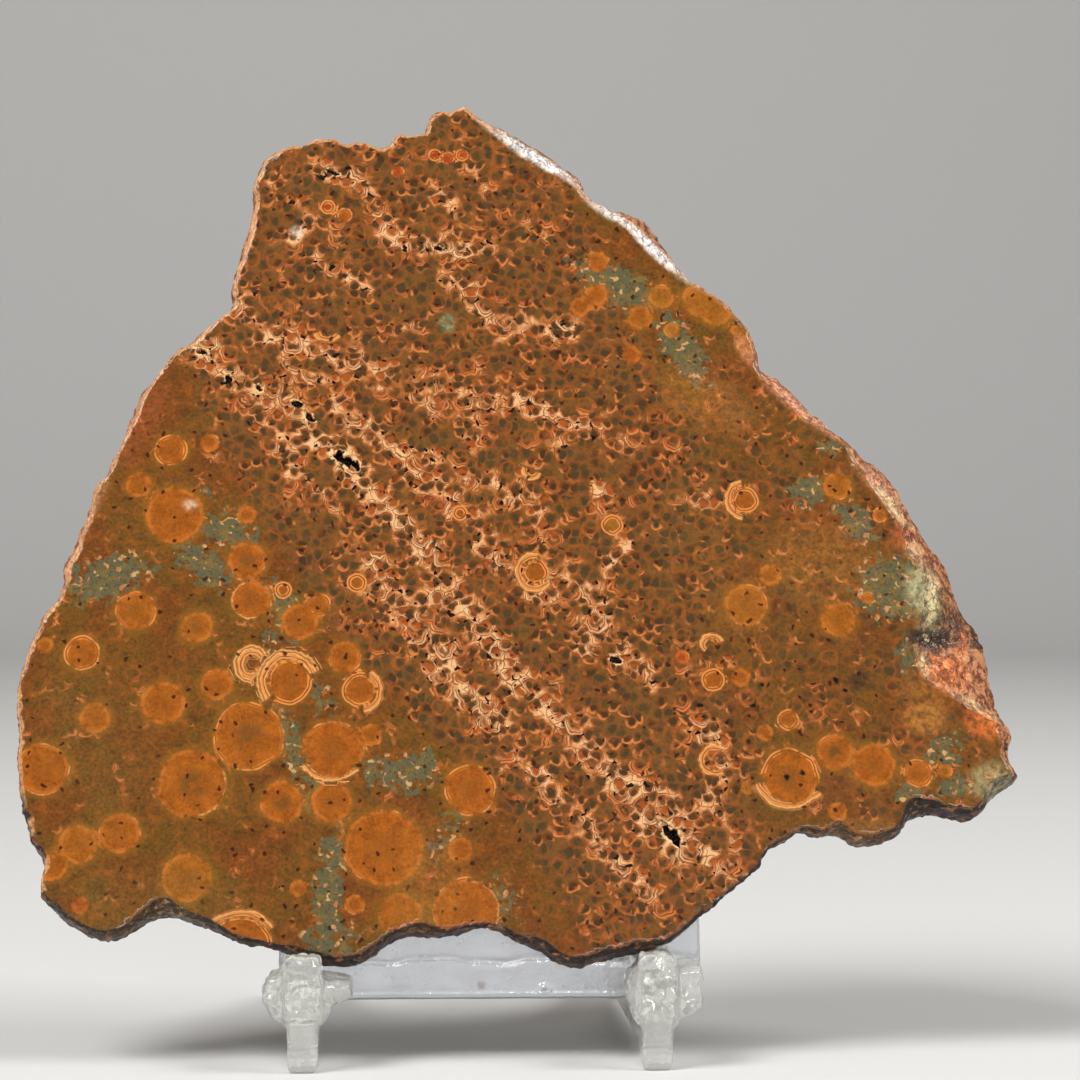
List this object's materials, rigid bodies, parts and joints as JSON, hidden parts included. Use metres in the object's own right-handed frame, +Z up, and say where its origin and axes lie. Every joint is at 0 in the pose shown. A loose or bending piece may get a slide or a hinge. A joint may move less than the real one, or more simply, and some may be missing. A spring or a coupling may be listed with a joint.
{
  "type": "birds eye rhyolite slab",
  "caption": "Flat polished slab of brown and orange birds eye rhyolite with a natural broken rim, leaning on a small clear plastic display stand.",
  "frame": {"origin": "on the surface the stand rests on, under the middle of the whole object's bounding box", "axes": "+X across the slab to the viewer's right, +Y from the polished face towards the back, +Z up"},
  "size_m": [0.1286, 0.0662, 0.1243],
  "materials": {
    "rhyolite": "sawn and polished face, natural broken rim",
    "leg_plastic": "clear moulded, bubbly, lightly scuffed",
    "plate_plastic": "clear moulded, bluish, lightly scuffed"
  },
  "bodies": {
    "root": {"rhyolite_slab": "rhyolite", "left_leg": "leg_plastic", "right_leg": "leg_plastic", "back_plate": "plate_plastic"}
  },
  "joints": []
}
